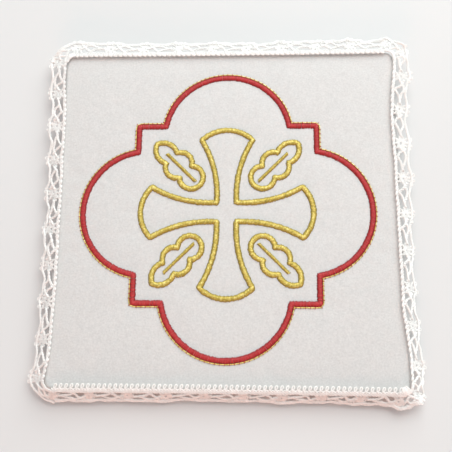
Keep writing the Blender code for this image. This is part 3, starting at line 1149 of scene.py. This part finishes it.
# The outer edge's line along a repeat and across it, and how far past or short of it braids run
OUTER_BRAID = ((-3.4, 6.7), (-1.2, 7.1), (1.2, 7.0), (3.2, 6.5), (6.0, 6.0), (9.0, 5.9), (11.4, 6.2))
BRAIDS = {"front": (-0.28, 0.4), "right": (0.4,), "back": (-0.28, 0.4), "left": (0.4,)}
# The outer edge's middle line, and the share of its bulges and picots that each side keeps: it
# hangs straighter in front, and a little at the back
BRAID_MIDDLE = 6.4
EDGE_WAVES = {"front": 0.35, "right": 1.0, "back": 0.7, "left": 1.0}
TEETH = 7
TOOTH_BELOW_FOOTING = 0.3
TOOTH_RISE = -0.16
# How long, how wide and how slanted the teeth are on each side
TEETH_OF_SIDES = {
    "front": (2.0, 1.2, 0.9),
    "right": (0.3, 2.0, 0.1),
    "back": (0.6, 1.8, 0.2),
    "left": (0.35, 2.0, 0.1),
}


def straighter(across, side_name):
    """Brings places near the outer edge closer to its middle line, by the side's own share."""
    return BRAID_MIDDLE + (across - BRAID_MIDDLE) * EDGE_WAVES[side_name]


def repeat_lines(side_name):
    """The threads of one repeat, whose cluster of leaves lies near nought along."""
    lines = []
    length, width, lean = TEETH_OF_SIDES[side_name]
    tooth_base = min(FOOTINGS[side_name]) - TOOTH_BELOW_FOOTING
    middle = np.array(CLUSTER)
    for along, across in CLUSTER_LEAVES:
        end = (along, straighter(across, side_name) if across > BRAID_MIDDLE else across)
        start = middle + (np.array(end) - middle) * LEAF_START_SHARE
        lines += leaf(start, end, LEAF_WIDTH)
    for points in GROUND_PLAITS:
        lines += plait(points)
    for base, tip, picot_width in PICOTS:
        picot = loop(base, tip, picot_width)[0]
        picot[:, 1] = straighter(picot[:, 1], side_name)
        lines.append(picot)
    for number in range(TEETH):
        along = (number + 0.5) * LACE_REPEAT / MM / TEETH
        lines += loop((along, tooth_base), (along + lean, tooth_base - length), width, TOOTH_RISE)
    return lines


def running_lines(first, last, side_name):
    """The footing and the outer braids, which run on from repeat to repeat."""
    lines = []
    repeat = LACE_REPEAT / MM
    for across in FOOTINGS[side_name]:
        stops = np.arange(first * repeat, last * repeat + PAST_END, FOOTING_STEP)
        lines += plait([(along, across) for along in stops])
    starts = np.arange(first - 1, last + 2) * repeat
    edge = [(start + along, across) for start in starts for along, across in OUTER_BRAID]
    along, across = np.array(edge).T
    ends = np.array([first, last]) * repeat
    inside = along[(along > ends[0]) & (along < ends[1])]
    stops = np.r_[ends[0], inside, ends[1]]
    edge_across = np.interp(stops, along, straighter(across, side_name))
    for place in BRAIDS[side_name]:
        lines += plait(np.column_stack([stops, edge_across + place]))
    return lines


sample = repeat_lines("front")
thread_length = sum(np.linalg.norm(np.diff(line, axis=0), axis=1).sum() for line in sample)
print(f"one repeat: {len(sample)} threads, {thread_length:.0f} mm of cotton without its footing and braids")

# %% Unevenness of handling
# Ten slow waves make the lace wander: how far each shifts it sideways, and up, in millimetres
WANDER = 0.17
WANDER_UP = 0.02
WANDER_WAVES = [
    (chance.uniform(0.6, 3.2), chance.uniform(0, 2 * pi), chance.uniform(-1, 1)) for _ in range(10)
]
# Held by its seam, the lace shifts sideways only outwards of this line, and fully from this
# width further out
SEWN_TO = -1.5
FREE_OVER = 4.0


def unsettle(line):
    """Shifts points a little along or across the strip, and up, smoothly, as handled lace is."""
    shifted = line.copy()
    t = line[:, 0] / (LACE_REPEAT / MM)
    free = np.clip((line[:, 1] - SEWN_TO) / FREE_OVER, 0, 1)
    for number, (rate, offset, skew) in enumerate(WANDER_WAVES):
        wave = np.sin(2 * pi * rate * t + offset + skew * line[:, 1])
        shifted[:, number % 2] += WANDER * wave * free
        shifted[:, 2] += WANDER_UP * wave
    return shifted


# %% Lay the lace along the four sides
# Meant to lower the threads from the solid strip's middle onto the cloth, in millimetres. It
# lifts them instead, as on_strip's normal points down
LACE_DROP = -0.44


def lace_side(number, name):
    """One side's run of the strip, from its first repeat to its last."""
    first, last = round(SIDE_STARTS[number]), round(SIDE_STARTS[number + 1])
    lines = []
    for repeat in range(first, last):
        offset = np.array([repeat * LACE_REPEAT / MM, 0, 0])
        lines += [line + offset for line in repeat_lines(name)]
    lines += running_lines(first, last, name)
    lines = [unsettle(line) + (0, 0, LACE_DROP) for line in lines]
    piece = thread_piece(f"lace_{name}", [on_strip(line) for line in lines], COTTON_RADIUS, white_cotton)
    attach(piece, "root")
    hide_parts("lace_edging")
    print(f"lace_{name}: repeats {first} to {last}, {len(lines)} threads, {triangles(piece)} triangles")


for number, name in enumerate(SIDE_NAMES):
    lace_side(number, name)

# %% [markdown]
# ## Floor, light and camera
#
# The pall lies on a pale table. Soft daylight comes from behind it and above, so the back edge
# is bright and the lace in front hangs in shade. A weak warm light, low in front and narrow in
# its fan, tints that lace and the table before it. The camera stands almost overhead and a
# little in front, and is turned by some twelve degrees.

# %% Floor
FLOOR_SIZE = 3.0
FLOOR_DROP = 0.02 * MM


def make_floor_finish():
    """A pale table top, a little cloudy so that it isn't one flat colour."""
    material, tree, shader = new_material("pale_table", 0.7, Specular_IOR_Level=0.2)
    place = tree.nodes.new("ShaderNodeTexCoord").outputs["Object"]
    shade = noise(tree, place, 3.0, 2.0)
    colour = ramp(tree, shade, [(0.3, (0.705, 0.70, 0.695)), (0.7, (0.74, 0.737, 0.733))])
    tree.links.new(colour, shader.inputs["Base Color"])
    return material


start_piece()
bpy.ops.mesh.primitive_plane_add(size=FLOOR_SIZE, location=(0, 0, -FLOOR_DROP))
floor = bpy.context.object
floor.name = "floor"
floor.data.materials.append(make_floor_finish())
floor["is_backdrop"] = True

# %% Light
LIGHTS = (
    # name, place, size, power, how widely it fans out in degrees, colour
    ("window_behind", (0.35, 0.75, 0.8), 1.2, 17.0, 180, (0.96, 1.0, 0.99)),
    ("warm_front", (-0.1, -0.85, 0.22), 0.5, 0.42, 50, (1.0, 0.42, 0.28)),
)
SKY_STRENGTH = 0.46
SKY_COLOUR = (0.97, 0.98, 1.0)


def add_light(name, place, size, power, fan, colour):
    """A square area light that shines at the middle of the pall."""
    start_piece()
    bpy.ops.object.light_add(type="AREA", location=place)
    light = bpy.context.object
    light.name = name
    light.data.size = size
    light.data.energy = power
    light.data.color = colour
    light.data.spread = radians(fan)
    light.rotation_euler = (-Vector(place)).to_track_quat("-Z", "Y").to_euler()


for row in LIGHTS:
    add_light(*row)
world = bpy.data.worlds.new("soft_room")
world.use_nodes = True
world.node_tree.nodes["Background"].inputs["Color"].default_value = (*SKY_COLOUR, 1)
world.node_tree.nodes["Background"].inputs["Strength"].default_value = SKY_STRENGTH
bpy.context.scene.world = world
bpy.context.scene.view_settings.view_transform = "Standard"

# %% Camera
# Its place and turn are worked out from the face's four corners in the picture and the pad's
# size. The focal length is the best of a few trial values, and 450 fits almost as well
IMAGE_WIDTH = 452
FOCAL_PIXELS = 600
SENSOR_WIDTH = 36.0
AZIMUTH = radians(11.93)
ELEVATION = radians(77.25)
ROLL = radians(-11.61)
DISTANCE = 274.65 * MM
TARGET = Vector((-0.2 * MM, -6.4 * MM, HEIGHT))


def place_camera():
    """Stands at the distance from the target, looks at it, and rolls about the line of sight."""
    start_piece()
    bpy.ops.object.camera_add()
    camera = bpy.context.object
    camera.name = "camera"
    camera.data.sensor_width = SENSOR_WIDTH
    camera.data.lens = FOCAL_PIXELS / IMAGE_WIDTH * SENSOR_WIDTH
    camera.data.clip_start = 0.01
    back = Vector(
        (sin(AZIMUTH) * cos(ELEVATION), -cos(AZIMUTH) * cos(ELEVATION), sin(ELEVATION))
    )
    right = Vector((cos(AZIMUTH), sin(AZIMUTH), 0))
    up = back.cross(right)
    rolled_right = right * cos(ROLL) + up * sin(ROLL)
    rolled_up = up * cos(ROLL) - right * sin(ROLL)
    turn = Matrix((rolled_right, rolled_up, back)).transposed().to_4x4()
    camera.matrix_world = Matrix.Translation(TARGET + back * DISTANCE) @ turn
    bpy.context.scene.camera = camera


place_camera()

# %% Compare the boxes and finish
seen_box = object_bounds()
for label, box in (("packed model", cad_box), ("this scene", seen_box)):
    print(label, [round((high - low) / MM, 1) for low, high in zip(*box)], "mm")
